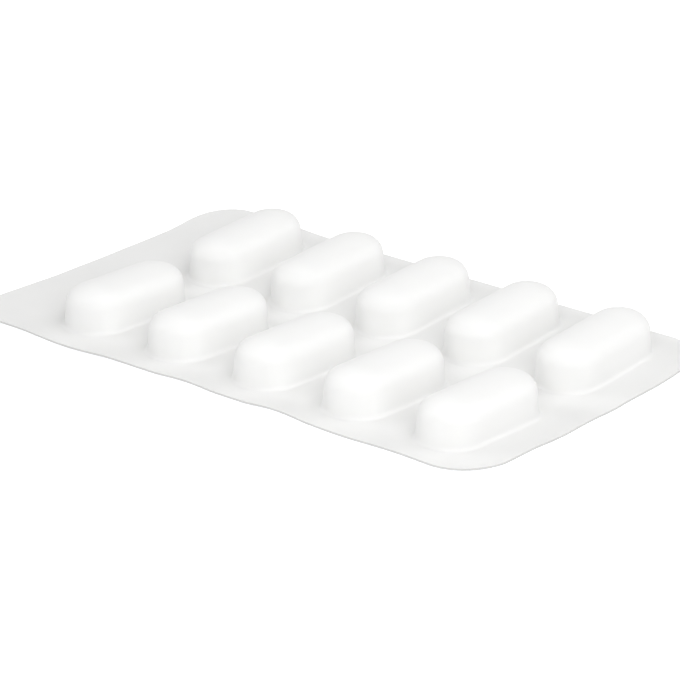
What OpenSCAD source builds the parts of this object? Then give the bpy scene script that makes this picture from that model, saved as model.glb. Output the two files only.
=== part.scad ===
// Blister pack of oblong caplets, lying with its pockets up.
// The formed card and its sealed contents are one closed solid with a plain underside.
// X runs along the card, Y across it, Z up, in millimetres. The origin is at the middle
// of the card's length and width, on the flat strip between the rows on which it rests.

/* [Card] */
// Thickness of the card where the formed film and the foil are sealed together
card_t = 0.3; // [0.2:0.05:0.8]
// Radius of the card's four corners, seen from above
corner_r = 7.5; // [2:0.5:9]
// Plain strip at the blank end, from the card's edge to the first pockets
blank_margin = 14.2; // [5:0.2:40]
// Margin at the other end, from the last pockets to the card's edge
end_margin = 5.7; // [3:0.1:20]
// Margin along each long edge, from the pockets' ends to the card's edge
side_margin = 3.9; // [3:0.1:20]

/* [Pocket layout] */
// Number of pockets in each of the two rows
columns = 5; // [1:1:12]
// Clear card between neighbouring pockets of a row
pocket_gap = 6.6; // [3:0.2:15]
// Clear card between the two rows
row_gap = 5.6; // [5.4:0.2:20]

/* [Pocket form] */
// Width of a pocket where its walls meet the card, along the card
pocket_w = 9.4; // [8:0.2:12]
// Length of a pocket where its walls meet the card, across the card
pocket_l = 21.4; // [17:0.2:30]
// Height of a pocket above the card
pocket_h = 6.2; // [5:0.1:9]
// Lean of the pocket's walls from upright, in degrees
draft = 4; // [1:0.5:10]
// Radius of the bend from the wall into the roof
shoulder_r = 2.7; // [0.5:0.1:3]
// Radius of the roof's crown across the pocket
crown_r = 8; // [7:0.5:40]
// Radius of the bend from the card into the wall
flare_r = 0.6; // [0.3:0.1:1.4]

/* [Bend of the card] */
// Slope at which each row rises towards its long edge, in degrees
row_tilt = 2.4; // [0.5:0.1:4]
// Radius of the soft bend beside each row
bend_r = 25; // [10:1:40]
// Width of the flat strip between the rows
rest_w = 2; // [1:0.2:3]

/* [Hidden] */
$fn = 96;
bend_fn = 720; // facets of the wide circles of the soft bend
bite = 0.5; // how far one piece of a section runs into the next
film_white = "#f4f4f2";
root_z = -card_t / 2; // how deep a pocket's section reaches into the card

pitch_x = pocket_w + pocket_gap;
row_pitch = pocket_l + row_gap;
card_l = blank_margin + columns * pitch_x - pocket_gap + end_margin;
card_w = row_pitch + pocket_l + 2 * side_margin;
first_x = -card_l / 2 + blank_margin + pocket_w / 2;
base_r = pocket_w / 2;
spine_l = pocket_l - pocket_w;

// where the soft bend ends and the row's flat panel starts, on the underside
panel_y = rest_w / 2 + bend_r * sin(row_tilt);
panel_z = bend_r * (1 - cos(row_tilt));
panel_l = (card_w / 2 - panel_y) / cos(row_tilt);
row_y = (row_pitch / 2 - panel_y) / cos(row_tilt);

// the shoulder arc touches the leaning wall and the crown arc from inside
crown_z = pocket_h - crown_r;
reach = crown_r - shoulder_r;
wall_gap = (base_r - crown_z * tan(draft)) * cos(draft) - shoulder_r;
shoulder_turn = draft + acos(wall_gap / reach);
shoulder_x = reach * cos(shoulder_turn);
shoulder_z = crown_z + reach * sin(shoulder_turn);
wall_top_x = shoulder_x + shoulder_r * cos(draft);
wall_top_z = shoulder_z + shoulder_r * sin(draft);
roof_edge_x = crown_r * cos(shoulder_turn);
roof_edge_z = crown_z + crown_r * sin(shoulder_turn);

// the flare arc touches the card's top and the leaning wall from outside
flare_x = base_r + flare_r * (1 - sin(draft)) / cos(draft);
flare_top_x = flare_x - flare_r * cos(draft);
flare_top_z = flare_r * (1 - sin(draft));

// Half of the pocket's cross-section, from its upright middle line out to the flare.
// It starts inside the card, so that pocket and card join.
module half_section() {
    polygon([[0, root_z], [flare_x, root_z], [flare_x, 0], [flare_top_x, 0], [flare_top_x, flare_top_z],
             [wall_top_x, wall_top_z], [roof_edge_x, roof_edge_z], [0, roof_edge_z]]);
    difference() {
        translate([flare_top_x, 0]) square([flare_x - flare_top_x, flare_top_z]);
        translate([flare_x, flare_r]) circle(flare_r);
    }
    translate([shoulder_x, shoulder_z]) intersection() {
        circle(shoulder_r);
        square(shoulder_r);
    }
    intersection() {
        translate([0, crown_z]) circle(crown_r);
        translate([0, roof_edge_z - bite]) square([roof_edge_x, crown_r]);
    }
}

// One pocket: the section drawn straight along the middle and turned about each end.
module pocket() {
    rotate([90, 0, 0]) linear_extrude(height = spine_l, center = true) {
        half_section();
        mirror([1, 0]) half_section();
    }
    for (end = [0, 180])
        rotate([0, 0, end]) translate([0, spine_l / 2, 0]) rotate_extrude(angle = 180) half_section();
}

// Rounded outline of the card.
module card_outline() {
    square([card_l - 2 * corner_r, card_w], center = true);
    square([card_l, card_w - 2 * corner_r], center = true);
    for (x = [-1, 1], y = [-1, 1])
        translate([x * (card_l / 2 - corner_r), y * (card_w / 2 - corner_r)]) circle(corner_r);
}

// Half of the card's cross-section: flat strip, soft bend, rising panel.
module half_profile() {
    square([rest_w / 2, card_t]);
    translate([rest_w / 2, bend_r]) intersection() {
        difference() {
            circle(bend_r, $fn = bend_fn);
            circle(bend_r - card_t, $fn = bend_fn);
        }
        polygon([[0, 0], [0, -2 * bend_r], [2 * bend_r * tan(row_tilt), -2 * bend_r]]);
    }
    translate([panel_y, panel_z]) rotate(row_tilt) square([panel_l + bite, card_t]);
}

// The bent card, cut to its outline.
module card() {
    intersection() {
        rotate([90, 0, 90]) linear_extrude(height = card_l, center = true) {
            half_profile();
            mirror([1, 0]) half_profile();
        }
        linear_extrude(height = card_w, center = true) card_outline();
    }
}

// One row of pockets, square to its panel of the card.
module row() {
    for (i = [0 : columns - 1])
        translate([first_x + i * pitch_x, panel_y, panel_z]) rotate([row_tilt, 0, 0])
            translate([0, row_y, card_t]) pocket();
}

module blister_pack() {
    color(film_white) {
        card();
        row();
        mirror([0, 1, 0]) row();
    }
}

blister_pack();
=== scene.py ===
"""Dresses the blister pack: its formed plastic film and the aluminium foil sealed under it."""
from math import atan2, cos, hypot, pi, radians, sin, sqrt, tan

import bpy
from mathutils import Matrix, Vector


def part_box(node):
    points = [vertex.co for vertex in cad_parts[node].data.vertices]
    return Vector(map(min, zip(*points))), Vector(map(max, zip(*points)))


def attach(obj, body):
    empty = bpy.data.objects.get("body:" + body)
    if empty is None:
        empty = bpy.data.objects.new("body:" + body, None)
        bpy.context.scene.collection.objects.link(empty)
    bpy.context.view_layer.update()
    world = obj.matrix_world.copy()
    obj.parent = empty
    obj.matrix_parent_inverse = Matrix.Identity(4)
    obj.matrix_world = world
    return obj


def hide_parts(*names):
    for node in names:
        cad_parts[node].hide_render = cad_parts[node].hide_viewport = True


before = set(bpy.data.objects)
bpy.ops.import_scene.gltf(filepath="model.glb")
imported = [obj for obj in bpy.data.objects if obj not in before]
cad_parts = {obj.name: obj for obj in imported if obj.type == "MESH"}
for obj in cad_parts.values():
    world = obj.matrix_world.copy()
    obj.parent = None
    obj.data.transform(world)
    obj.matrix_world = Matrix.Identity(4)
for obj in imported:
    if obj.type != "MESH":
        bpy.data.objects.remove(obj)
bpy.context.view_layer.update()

MM = 0.001
IMAGE = 680

# The card's own sizes, in millimetres, as the part's source has them.
PACK_LOW, PACK_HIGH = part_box("blister_pack")
CARD_L = (PACK_HIGH.x - PACK_LOW.x) / MM
CARD_W = (PACK_HIGH.y - PACK_LOW.y) / MM
CARD_T = 0.3
CORNER_R = 7.5
COLUMNS = 5
POCKET_W = 9.4
POCKET_L = 21.4
POCKET_H = 6.2
POCKET_GAP = 6.6
ROW_GAP = 5.6
END_MARGIN = 5.7
DRAFT = radians(4)
SHOULDER_R = 2.7
CROWN_R = 8
FLARE_R = 0.6
ROW_TILT = radians(2.4)
BEND_R = 25
REST_W = 2

# The foil lies under the film, and together they fill the card's thickness. The seal's grid
# is pressed up into the foil from below, between the smooth windows under the pockets.
FOIL_T = 0.03
FILM_T = CARD_T - FOIL_T
SEAL_PITCH = 1.1
SEAL_DEPTH = 0.03
SEAL_CLEARANCE = SEAL_PITCH / 4
WINDOW_SAG = 0.08

# How high up a pocket's wall the grey of the flat film fades into the white of the drawn film.
# On the wall the film is not sealed, so this grey is painted shade at the pocket's foot.
PAINTED_FOOT_SHADE_HEIGHT = 3.5

# The card unrolled flat: distances from its middle line along the bent surface.
BEND_END = REST_W / 2 + BEND_R * ROW_TILT
PANEL_Y = REST_W / 2 + BEND_R * sin(ROW_TILT)
HALF_W = BEND_END + (CARD_W / 2 - PANEL_Y) / cos(ROW_TILT)
HALF_L = CARD_L / 2
ROW_Y = BEND_END + ((POCKET_L + ROW_GAP) / 2 - PANEL_Y) / cos(ROW_TILT)

PITCH = POCKET_W + POCKET_GAP
FIRST_X = HALF_L - END_MARGIN - POCKET_W / 2 - (COLUMNS - 1) * PITCH
SPINE = POCKET_L - POCKET_W

# Where the card has warped since it was cut: place, reach along X and Y, and lift there.
WARPS = (
    (-41, 31, 20, 10, 0.9),
    (-HALF_L, 17.5, 10, 7.5, -0.45),
    (-HALF_L, 11, 8, 5, -0.2),
    (-HALF_L, -1, 10, 8, 0.2),
    (-26, -HALF_W, 9.5, 6, -0.42),
    (-3.2, -HALF_W, 6, 5, 0.27),
    (13, -HALF_W, 6, 5, 0.37),
    (24.5, -HALF_W, 8, 5, -0.2),
    (42, -HALF_W, 8, 7, -0.2),
    (HALF_L, -15, 6, 5, 0.12),
    (HALF_L, -1.5, 7, 6.5, 0.28),
    (HALF_L, 15, 7, 9, -0.27),
)

# How finely the film is drawn.
FLARE_STEPS = 6
WALL_STEPS = 4
SHOULDER_STEPS = 8
CROWN_STEPS = 7
TURN_STEPS = 48
SPINE_STEPS = 4
# The sides of a pocket's rectangle have as many steps in all as the pocket's foot has.
CELL_LONG_STEPS = 20
CELL_SHORT_STEPS = TURN_STEPS // 2 + 2 * SPINE_STEPS - CELL_LONG_STEPS
CELL_CUTS = 6
BRIDGE_DROP = 5
CORNER_STEPS = 12
BEND_STEPS = 4
PLAIN_END_STEPS = 8
OTHER_END_STEPS = 2

# Lengths that differ by less than this are the same.
SAME = 0.002
# Vertices closer than this are joined.
JOINED = 0.001
# Faces that meet at less than this are shaded as one.
SMOOTH_ANGLE = radians(35)

# The camera's angles are found from the photograph's perspective, and its reach and target are
# in millimetres.
CAMERA_TURN = radians(39.24)
CAMERA_RISE = radians(22.23)
CAMERA_REACH = 487.6
CAMERA_TARGET = (1.52, -0.07, 0)
FOCAL_PIXELS = 3410
SENSOR = 36


# The camera.


def make_camera():
    """The camera at the photograph's viewing angle, its lens set for an image 680 pixels wide."""
    data = bpy.data.cameras.new("camera")
    data.sensor_width = SENSOR
    data.lens = FOCAL_PIXELS / IMAGE * SENSOR
    data.clip_start = 0.01
    data.clip_end = 20
    camera = bpy.data.objects.new("camera", data)
    bpy.context.scene.collection.objects.link(camera)
    flat = cos(CAMERA_RISE)
    back = Vector((sin(CAMERA_TURN) * flat, -cos(CAMERA_TURN) * flat, sin(CAMERA_RISE)))
    camera.location = (Vector(CAMERA_TARGET) + back * CAMERA_REACH) * MM
    camera.rotation_euler = back.to_track_quat("Z", "Y").to_euler()
    bpy.context.scene.camera = camera


# Steps that every piece is modelled with. Lengths are in millimetres.


def near(a, b):
    """True if two lengths are the same."""
    return abs(a - b) < SAME


def edit(piece):
    """Puts a piece alone in edit mode."""
    bpy.ops.object.select_all(action="DESELECT")
    piece.select_set(True)
    bpy.context.view_layer.objects.active = piece
    bpy.ops.object.mode_set(mode="EDIT")


def leave():
    """Goes back to object mode."""
    bpy.ops.object.mode_set(mode="OBJECT")


def start(name):
    """Names the primitive that was just added, moves its place into its mesh and edits it."""
    piece = bpy.context.object
    piece.name = piece.data.name = name
    bpy.ops.object.transform_apply(location=True, rotation=True, scale=True)
    edit(piece)
    bpy.ops.mesh.select_all(action="SELECT")
    return piece


def pick(piece, wanted):
    """Selects the vertices of the edited piece whose place a rule wants."""
    bpy.ops.mesh.select_mode(type="VERT")
    bpy.ops.mesh.select_all(action="DESELECT")
    leave()
    for vertex in piece.data.vertices:
        vertex.select = bool(wanted(vertex.co / MM))
    bpy.ops.object.mode_set(mode="EDIT")


def pick_edges(piece, wanted):
    """Selects the edges of the edited piece whose two ends a rule wants."""
    bpy.ops.mesh.select_mode(type="EDGE")
    bpy.ops.mesh.select_all(action="DESELECT")
    leave()
    for edge in piece.data.edges:
        edge.select = wanted(*(piece.data.vertices[i].co / MM for i in edge.vertices))
    bpy.ops.object.mode_set(mode="EDIT")


def extrude(x, y, z, steps=1):
    """Extrudes what is selected by a distance, in equal steps."""
    for _ in range(steps):
        bpy.ops.mesh.extrude_region_move(TRANSFORM_OT_translate={"value": Vector((x, y, z)) * MM / steps})


def move(x, y, z):
    """Moves what is selected."""
    bpy.ops.transform.translate(value=Vector((x, y, z)) * MM)


def resize(x, y, centre):
    """Scales what is selected in X and Y about a point."""
    bpy.ops.transform.resize(value=(x, y, 1), center_override=Vector(centre) * MM)


def cut(point, normal, trim=True):
    """Cuts the whole edited piece by a plane, and trims off what lies past it."""
    bpy.ops.mesh.select_all(action="SELECT")
    bpy.ops.mesh.bisect(plane_co=Vector(point) * MM, plane_no=normal, clear_outer=trim, threshold=1e-7)


def modify(piece, kind, **settings):
    """Adds a modifier to a piece and applies it."""
    bpy.ops.object.select_all(action="DESELECT")
    piece.select_set(True)
    bpy.context.view_layer.objects.active = piece
    modifier = piece.modifiers.new(kind.lower(), kind)
    for key, value in settings.items():
        setattr(modifier, key, value)
    bpy.ops.object.modifier_apply(modifier=modifier.name)


def mirror_across(piece):
    """Adds the other half of a piece across the middle line, and joins the two."""
    modify(piece, "MIRROR", use_axis=(False, True, False), merge_threshold=JOINED * MM)


def window_depth(x, y):
    """How far a place on the flat card lies inside the window under the nearest pocket."""
    column = min(max(round((x - FIRST_X) / PITCH), 0), COLUMNS - 1)
    past_spine = max(abs(abs(y) - ROW_Y) - SPINE / 2, 0)
    return POCKET_W / 2 - hypot(x - FIRST_X - column * PITCH, past_spine)


# The film.


def pocket_section():
    """Half of the pocket's section as (radius, height above the film): flare, wall, shoulder, crown."""
    crown_z = POCKET_H - CROWN_R
    reach = CROWN_R - SHOULDER_R
    wall_gap = (POCKET_W / 2 - crown_z * tan(DRAFT)) * cos(DRAFT) - SHOULDER_R
    shoulder_turn = DRAFT + atan2(sqrt(reach**2 - wall_gap**2), wall_gap)
    flare_x = POCKET_W / 2 + FLARE_R * (1 - sin(DRAFT)) / cos(DRAFT)

    def arc(x, z, radius, first, last, steps):
        turns = [first + (last - first) * i / steps for i in range(steps + 1)]
        return [(x + radius * cos(t), z + radius * sin(t)) for t in turns]

    flare = arc(flare_x, FLARE_R, FLARE_R, -pi / 2, -pi + DRAFT, FLARE_STEPS)
    shoulder_x, shoulder_z = reach * cos(shoulder_turn), crown_z + reach * sin(shoulder_turn)
    shoulder = arc(shoulder_x, shoulder_z, SHOULDER_R, DRAFT, shoulder_turn, SHOULDER_STEPS)
    crown = arc(0, crown_z, CROWN_R, shoulder_turn, pi / 2, CROWN_STEPS)
    (foot_x, foot_z), (top_x, top_z) = flare[-1], shoulder[0]
    shares = [i / WALL_STEPS for i in range(1, WALL_STEPS)]
    wall = [(foot_x + (top_x - foot_x) * s, foot_z + (top_z - foot_z) * s) for s in shares]
    return flare + wall + shoulder + crown[1:]


def make_pocket():
    """One pocket: a ring drawn up along the section, halved, pulled out to its length and mirrored."""
    section = pocket_section()
    radius, height = section[0]
    bpy.ops.mesh.primitive_circle_add(vertices=TURN_STEPS, radius=radius * MM, location=(0, 0, CARD_T * MM))
    pocket = start("formed_film")
    for next_radius, next_height in section[1:-1]:
        extrude(0, 0, next_height - height)
        resize(next_radius / radius, next_radius / radius, (0, 0, 0))
        radius, height = next_radius, next_height
    extrude(0, 0, section[-1][1] - height)
    bpy.ops.mesh.merge(type="CENTER")
    cut((0, 0, 0), (0, -1, 0))
    bpy.ops.mesh.select_all(action="SELECT")
    move(0, SPINE / 2, 0)
    pick(pocket, lambda co: near(co.y, SPINE / 2))
    extrude(0, -SPINE / 2, 0, SPINE_STEPS)
    leave()
    mirror_across(pocket)
    return pocket


def make_cell(pocket):
    """Joins the pocket to its rectangle of flat film, from the middle line to the card's long edge.
    The rectangle is bridged from below, where the two loops can't be paired crosswise, then flattened."""
    inner, outer = -ROW_Y, HALF_W - ROW_Y
    middle = (inner + outer) / 2
    low = CARD_T - BRIDGE_DROP
    bpy.ops.mesh.primitive_plane_add(size=PITCH * MM, location=(0, middle * MM, low * MM))
    border = start("border")
    resize(1, (outer - inner) / PITCH, (0, middle, 0))
    bpy.ops.mesh.delete(type="ONLY_FACE")
    for axis, steps in ((0, CELL_LONG_STEPS), (1, CELL_SHORT_STEPS)):
        pick_edges(border, lambda a, b: near(a[axis], b[axis]))
        bpy.ops.mesh.subdivide(number_cuts=steps - 1)
    leave()
    pocket.select_set(True)
    bpy.context.view_layer.objects.active = pocket
    bpy.ops.object.join()
    edit(pocket)
    pick(pocket, lambda co: near(co.z, CARD_T) or near(co.z, low))
    bpy.ops.mesh.bridge_edge_loops(number_cuts=CELL_CUTS, interpolation="LINEAR")
    pick(pocket, lambda co: co.z < CARD_T)
    bpy.ops.transform.resize(value=(1, 1, 0), center_override=(0, 0, CARD_T * MM))
    leave()


def round_corners(piece):
    """Trims the edited sheet's four corners round, by planes that touch the corner's circle."""
    for x in (-1, 1):
        for y in (-1, 1):
            for i in range(CORNER_STEPS):
                turn = (i + 0.5) / CORNER_STEPS * pi / 2
                way = Vector((x * cos(turn), y * sin(turn), 0))
                middle = Vector((x * (HALF_L - CORNER_R), y * (HALF_W - CORNER_R), 0))
                cut(middle + way * CORNER_R, way)


def make_film():
    """The formed film: a row of pockets, its plain ends, the other row, and the film's thickness."""
    film = make_pocket()
    make_cell(film)
    edit(film)
    bpy.ops.mesh.select_all(action="SELECT")
    move(FIRST_X, ROW_Y, 0)
    leave()
    modify(
        film,
        "ARRAY",
        count=COLUMNS,
        use_relative_offset=False,
        use_constant_offset=True,
        constant_offset_displace=(PITCH * MM, 0, 0),
        use_merge_vertices=True,
        merge_threshold=JOINED * MM,
    )
    edit(film)
    left = FIRST_X - PITCH / 2
    right = FIRST_X + (COLUMNS - 0.5) * PITCH
    pick(film, lambda co: near(co.x, left))
    extrude(-HALF_L - left, 0, 0, PLAIN_END_STEPS)
    pick(film, lambda co: near(co.x, right))
    extrude(HALF_L - right, 0, 0, OTHER_END_STEPS)
    for i in range(BEND_STEPS + 1):
        y = REST_W / 2 + (BEND_END - REST_W / 2) * i / BEND_STEPS
        cut((0, y, 0), (0, 1, 0), trim=False)
    leave()
    mirror_across(film)
    edit(film)
    round_corners(film)
    bpy.ops.mesh.select_all(action="SELECT")
    bpy.ops.mesh.normals_make_consistent(inside=False)
    leave()
    film.data.materials.append(film_material())
    # The film's cut rim takes the edge material, whose grey is painted shade along the card's edge.
    film.data.materials.append(painted_shade_edge_material())
    modify(film, "SOLIDIFY", thickness=FILM_T * MM, offset=-1, material_offset_rim=1)
    mark_seal_grey_and_foot_shade(film)
    return film


def mark_seal_grey_and_foot_shade(film):
    """Marks 1 where the film lies sealed on the foil; its fade to 0 up a pocket's wall is painted shade."""
    # On a pocket's wall the film is not sealed: there this mark carries painted shade at the foot.
    sealed = film.data.attributes.new("sealed", "FLOAT", "POINT")
    for vertex in film.data.vertices:
        risen = min(max((vertex.co.z / MM - CARD_T) / PAINTED_FOOT_SHADE_HEIGHT, 0), 1)
        sealed.data[vertex.index].value = (1 - risen) ** 2


# The foil.


def make_foil():
    """The lidding foil: pressed with a fine grid where it is sealed, smooth and sagging elsewhere."""
    half_x = HALF_L / round(CARD_L / SEAL_PITCH)
    half_y = HALF_W / round(2 * HALF_W / SEAL_PITCH)
    bpy.ops.mesh.primitive_grid_add(
        x_subdivisions=round(CARD_L / half_x), y_subdivisions=round(2 * HALF_W / half_y), size=CARD_L * MM
    )
    foil = start("lidding_foil")
    resize(1, 2 * HALF_W / CARD_L, (0, 0, 0))

    def pressed(co):
        odd = round((co.x + HALF_L) / half_x) % 2 and round((co.y + HALF_W) / half_y) % 2
        return odd and window_depth(co.x, co.y) < -SEAL_CLEARANCE

    pick(foil, pressed)
    move(0, 0, SEAL_DEPTH)
    leave()
    for vertex in foil.data.vertices:
        inside = max(window_depth(*(vertex.co / MM)[:2]), 0) / (POCKET_W / 2)
        vertex.co.z -= WINDOW_SAG * MM * inside * (2 - inside)
    edit(foil)
    round_corners(foil)
    leave()
    modify(foil, "SOLIDIFY", thickness=FOIL_T * MM, offset=1)
    foil.data.materials.append(foil_material())
    return foil


def bend(piece):
    """Bends a flat sheet as the card is bent: a flat strip, two soft bends and two rising panels."""
    for vertex in piece.data.vertices:
        x, y, z = vertex.co / MM
        side = 1 if y > 0 else -1
        turn = min(max((abs(y) - REST_W / 2) / BEND_R, 0), ROW_TILT)
        along = abs(y) - turn * BEND_R
        bent_y = BEND_R * sin(turn) - z * sin(turn)
        bent_z = BEND_R * (1 - cos(turn)) + z * cos(turn)
        if turn > 0:
            bent_y += REST_W / 2 + (along - REST_W / 2) * cos(turn)
            bent_z += (along - REST_W / 2) * sin(turn)
        else:
            bent_y += along
        vertex.co = Vector((x, side * bent_y, bent_z)) * MM


def warp(piece):
    """Warps the bent card's free margins up and down in soft waves, which fade towards the pockets."""
    for vertex in piece.data.vertices:
        for x, y, reach_x, reach_y, lift in WARPS:
            away = ((vertex.co.x / MM - x) / reach_x) ** 2 + ((vertex.co.y / MM - y) / reach_y) ** 2
            vertex.co.z += lift * MM * max(1 - away, 0) ** 2


# Materials.

# A Mix node's colour sockets, picked by number because its other sockets share their names.
COLOUR_A = 6
COLOUR_B = 7
COLOUR_OUT = 2
# What a noise runs between, but for its rare peaks.
NOISE_RANGE = {"From Min": 0.3, "From Max": 0.7}


def linear(colour):
    """A sRGB hex colour as linear values."""
    values = [int(colour[i : i + 2], 16) / 255 for i in (1, 3, 5)]
    return [v / 12.92 if v <= 0.04045 else ((v + 0.055) / 1.055) ** 2.4 for v in values] + [1]


def new_material(name):
    """An empty node material."""
    material = bpy.data.materials.new(name)
    material.use_nodes = True
    material.node_tree.nodes.clear()
    return material


def add(tree, kind, inputs=(), **settings):
    """Adds a node with its settings. An input is a value, or the output that is linked to it."""
    node = tree.nodes.new("ShaderNode" + kind)
    for key, value in settings.items():
        setattr(node, key, value)
    for key, value in dict(inputs).items():
        if isinstance(value, bpy.types.NodeSocket):
            tree.links.new(value, node.inputs[key])
        else:
            node.inputs[key].default_value = value
    return node


def patches(size):
    """The scale of a noise whose patches are about this many millimetres wide."""
    return 1 / (size * MM)


def film_material():
    """White opaque PVC film, calendered and then formed by heat and vacuum. It is satin, with soft
    wide highlights, faintly uneven in tint and gloss, and lets a little light inside."""
    material = new_material("thermoformed_white_pvc_film")
    tree = material.node_tree
    place = add(tree, "TexCoord").outputs["Object"]
    uneven = add(tree, "TexNoise", {"Vector": place, "Scale": patches(7)}).outputs["Fac"]
    inputs = {"Factor": uneven, COLOUR_A: linear("#ebebea"), COLOUR_B: linear("#eeeeed")}
    drawn = add(tree, "Mix", inputs, data_type="RGBA").outputs[COLOUR_OUT]
    # Where the film lies sealed on the foil, the foil behind it shows through as a faint grey.
    # The same grey, faded up each pocket's lower wall, is painted shade at the pocket's foot.
    inputs = {"Factor": uneven, COLOUR_A: linear("#e5e5e4"), COLOUR_B: linear("#e8e8e7")}
    flat = add(tree, "Mix", inputs, data_type="RGBA").outputs[COLOUR_OUT]
    sealed = add(tree, "Attribute", attribute_name="sealed").outputs["Fac"]
    inputs = {"Factor": sealed, COLOUR_A: drawn, COLOUR_B: flat}
    tint = add(tree, "Mix", inputs, data_type="RGBA").outputs[COLOUR_OUT]
    # Real calendered film is smooth to about 0.02 mm; its orange peel is drawn at 0.6 mm to show.
    peel = add(tree, "TexNoise", {"Vector": place, "Scale": patches(0.6), "Detail": 3}).outputs["Fac"]
    bump = add(tree, "Bump", {"Height": peel, "Strength": 0.25, "Distance": 0.01 * MM})
    gloss = add(tree, "TexNoise", {"Vector": place, "Scale": patches(4)}).outputs["Fac"]
    inputs = {"Value": gloss, "To Min": 0.46, "To Max": 0.54, **NOISE_RANGE}
    roughness = add(tree, "MapRange", inputs).outputs["Result"]
    shader = add(
        tree,
        "BsdfPrincipled",
        {
            "Base Color": tint,
            "Roughness": roughness,
            "IOR": 1.53,
            "Specular IOR Level": 0.28,
            "Subsurface Weight": 0.12,
            "Subsurface Radius": (1, 1, 0.9),
            "Subsurface Scale": 0.4 * MM,
            "Normal": bump.outputs["Normal"],
        },
    )
    add(tree, "OutputMaterial", {"Surface": shader.outputs["BSDF"]})
    return material


def painted_shade_edge_material():
    """The white PVC film where the die sheared it: matt, with the die's upright lines. Its grey is
    painted shade, the dark line of shade that runs along the card's edge."""
    material = new_material("die_cut_pvc_edge_painted_shade")
    tree = material.node_tree
    place = add(tree, "TexCoord").outputs["Object"]
    # The die's lines are about 0.02 mm apart; they are drawn at 0.25 mm to show.
    upright = add(tree, "Mapping", {"Vector": place, "Scale": (1, 1, 0.1)}).outputs["Vector"]
    lines = add(tree, "TexNoise", {"Vector": upright, "Scale": patches(0.25), "Detail": 3}).outputs["Fac"]
    # The edge's grey is painted shade along the card's edge; the die's lines vary it a little.
    inputs = {"Factor": lines, COLOUR_A: linear("#c6c6c5"), COLOUR_B: linear("#d0d0ce")}
    tint = add(tree, "Mix", inputs, data_type="RGBA").outputs[COLOUR_OUT]
    bump = add(tree, "Bump", {"Height": lines, "Strength": 0.3, "Distance": 0.01 * MM})
    shader = add(
        tree,
        "BsdfPrincipled",
        {"Base Color": tint, "Roughness": 0.62, "IOR": 1.53, "Normal": bump.outputs["Normal"]},
    )
    add(tree, "OutputMaterial", {"Surface": shader.outputs["BSDF"]})
    return material


def foil_material():
    """Hard rolled aluminium foil under a thin clear lacquer: bright, streaked along its rolling
    direction, with a second, sharper shine from the lacquer."""
    material = new_material("rolled_aluminium_foil")
    tree = material.node_tree
    place = add(tree, "TexCoord").outputs["Object"]
    # Rolling lines are about 0.01 mm apart; they are drawn at 0.3 mm to show.
    along = add(tree, "Mapping", {"Vector": place, "Scale": (0.03, 1, 1)}).outputs["Vector"]
    streaks = add(tree, "TexNoise", {"Vector": along, "Scale": patches(0.3), "Detail": 3}).outputs["Fac"]
    bump = add(tree, "Bump", {"Height": streaks, "Strength": 0.2, "Distance": 0.01 * MM})
    inputs = {"Value": streaks, "To Min": 0.24, "To Max": 0.36, **NOISE_RANGE}
    roughness = add(tree, "MapRange", inputs).outputs["Result"]
    shader = add(
        tree,
        "BsdfPrincipled",
        {
            "Base Color": linear("#d9dbdd"),
            "Metallic": 1,
            "Roughness": roughness,
            "Coat Weight": 0.4,
            "Coat Roughness": 0.12,
            "Normal": bump.outputs["Normal"],
        },
    )
    add(tree, "OutputMaterial", {"Surface": shader.outputs["BSDF"]})
    return material


def seen_directly(tree):
    """1 for what the camera sees, straight or through a mirror or glass, and 0 for light on the object."""
    path = add(tree, "LightPath")
    straight = path.outputs["Is Camera Ray"]
    for name in ("Is Glossy Ray", "Is Transmission Ray"):
        inputs = {0: straight, 1: path.outputs[name]}
        straight = add(tree, "Math", inputs, operation="MAXIMUM").outputs["Value"]
    return straight


def floor_material():
    """Matt white floor. Its own glow is only seen, and makes it white where no shadow falls."""
    material = new_material("white_paper_floor")
    tree = material.node_tree
    paper = add(tree, "BsdfDiffuse", {"Color": linear(FLOOR_COLOUR)})
    strength = add(tree, "Math", {0: seen_directly(tree), 1: FLOOR_GLOW}, operation="MULTIPLY")
    glow = add(tree, "Emission", {"Strength": strength.outputs["Value"]})
    both = add(tree, "AddShader", {0: paper.outputs["BSDF"], 1: glow.outputs["Emission"]})
    add(tree, "OutputMaterial", {"Surface": both.outputs["Shader"]})
    return material


# The light. Angles are seen from the object: turned from its front towards its right, and risen.

# The floor's side is in metres.
FLOOR_SIZE = 6
FLOOR_COLOUR = "#ececec"
FLOOR_GLOW = 0.6
FILL = 0.34
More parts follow.
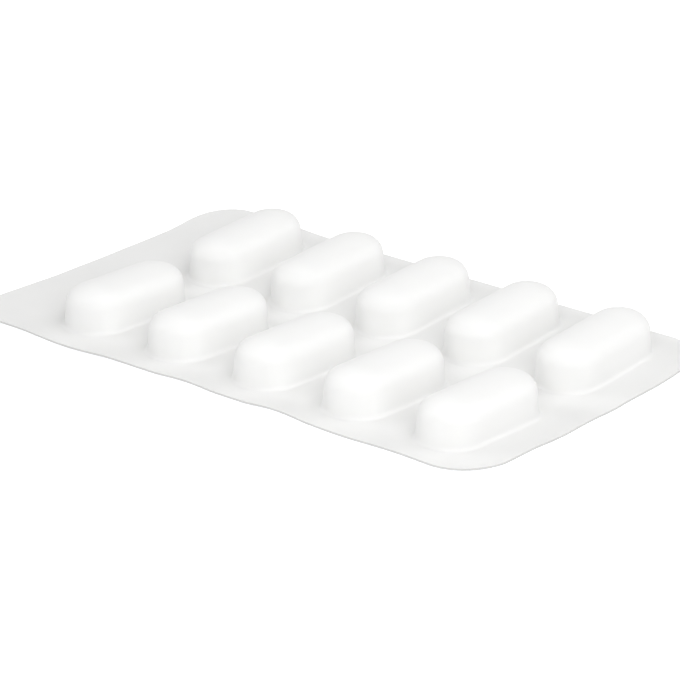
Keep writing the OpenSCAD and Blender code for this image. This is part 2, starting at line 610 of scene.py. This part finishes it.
# Each lamp: name, turn and rise in degrees, reach and size in metres, power in watts.
LAMPS = (
    ("front", 30, 30, 0.3, 0.15, 0.245),
    ("front_right", 60, 28, 1.2, 0.6, 4.2),
    ("back_right", 140, 28, 1.2, 0.6, 2.35),
    ("front_left", -60, 28, 1.2, 0.6, 3.45),
    ("top_right", 120, 65, 0.3, 0.15, 0.195),
    ("top_left", -120, 65, 0.3, 0.15, 0.1),
)


def make_world():
    """An even white surround: white where the camera sees it, and a soft fill on the object."""
    world = bpy.data.worlds.new("white_surround")
    bpy.context.scene.world = world
    world.use_nodes = True
    tree = world.node_tree
    tree.nodes.clear()
    inputs = {"Value": seen_directly(tree), "To Min": FILL, "To Max": 1}
    strength = add(tree, "MapRange", inputs).outputs["Result"]
    surround = add(tree, "Background", {"Color": (1, 1, 1, 1), "Strength": strength})
    add(tree, "OutputWorld", {"Surface": surround.outputs["Background"]})


def make_lamp(name, turn, rise, reach, size, power):
    """A soft square lamp that looks at the object, its reach and size in metres."""
    turn, rise = radians(turn), radians(rise)
    data = bpy.data.lights.new(name, "AREA")
    data.size = size
    data.energy = power
    lamp = bpy.data.objects.new(name, data)
    way = Vector((sin(turn) * cos(rise), -cos(turn) * cos(rise), sin(rise)))
    lamp.location = way * reach
    lamp.rotation_euler = way.to_track_quat("Z", "Y").to_euler()
    bpy.context.scene.collection.objects.link(lamp)


def make_floor():
    """A wide plain floor that the card rests on."""
    bpy.ops.mesh.primitive_plane_add(size=FLOOR_SIZE)
    ground = bpy.context.object
    ground.name = ground.data.name = "floor"
    ground.data.materials.append(floor_material())


def dress(piece):
    """Gives a finished piece its smooth shading and its place in the frame."""
    bpy.ops.object.select_all(action="DESELECT")
    piece.select_set(True)
    bpy.context.view_layer.objects.active = piece
    bpy.ops.object.shade_smooth_by_angle(angle=SMOOTH_ANGLE)
    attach(piece, "root")
    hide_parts("blister_pack")


make_camera()
film = make_film()
foil = make_foil()
for piece in (film, foil):
    bend(piece)
    warp(piece)
dress(film)
dress(foil)

make_floor()
make_world()
for lamp in LAMPS:
    make_lamp(*lamp)
bpy.context.scene.view_settings.view_transform = "Standard"
